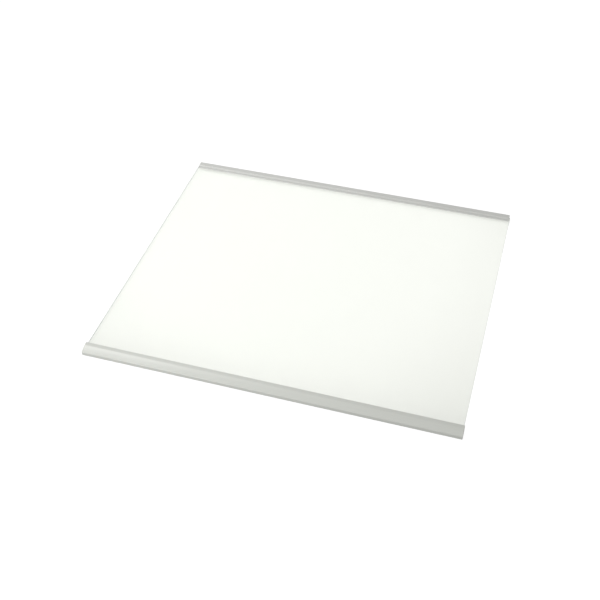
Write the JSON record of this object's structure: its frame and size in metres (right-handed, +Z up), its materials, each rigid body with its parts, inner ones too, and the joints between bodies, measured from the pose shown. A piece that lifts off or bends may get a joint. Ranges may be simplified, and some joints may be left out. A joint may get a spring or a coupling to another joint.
{
  "type": "refrigerator shelf",
  "caption": "Flat glass refrigerator shelf with a sloping plastic nosing along its front edge and a slim plastic channel along its rear edge.",
  "frame": {"origin": "middle of the footprint, on the plane that both trims rest on", "axes": "+X across the shelf, +Y from the front trim to the rear trim, +Z up through the glass"},
  "size_m": [0.4766, 0.4128, 0.0092],
  "materials": {
    "glass": "clear, polished, seamed edges",
    "trim": "satin"
  },
  "bodies": {
    "root": {"glass_plate": "glass", "front_trim": "trim", "rear_trim": "trim"}
  },
  "joints": []
}
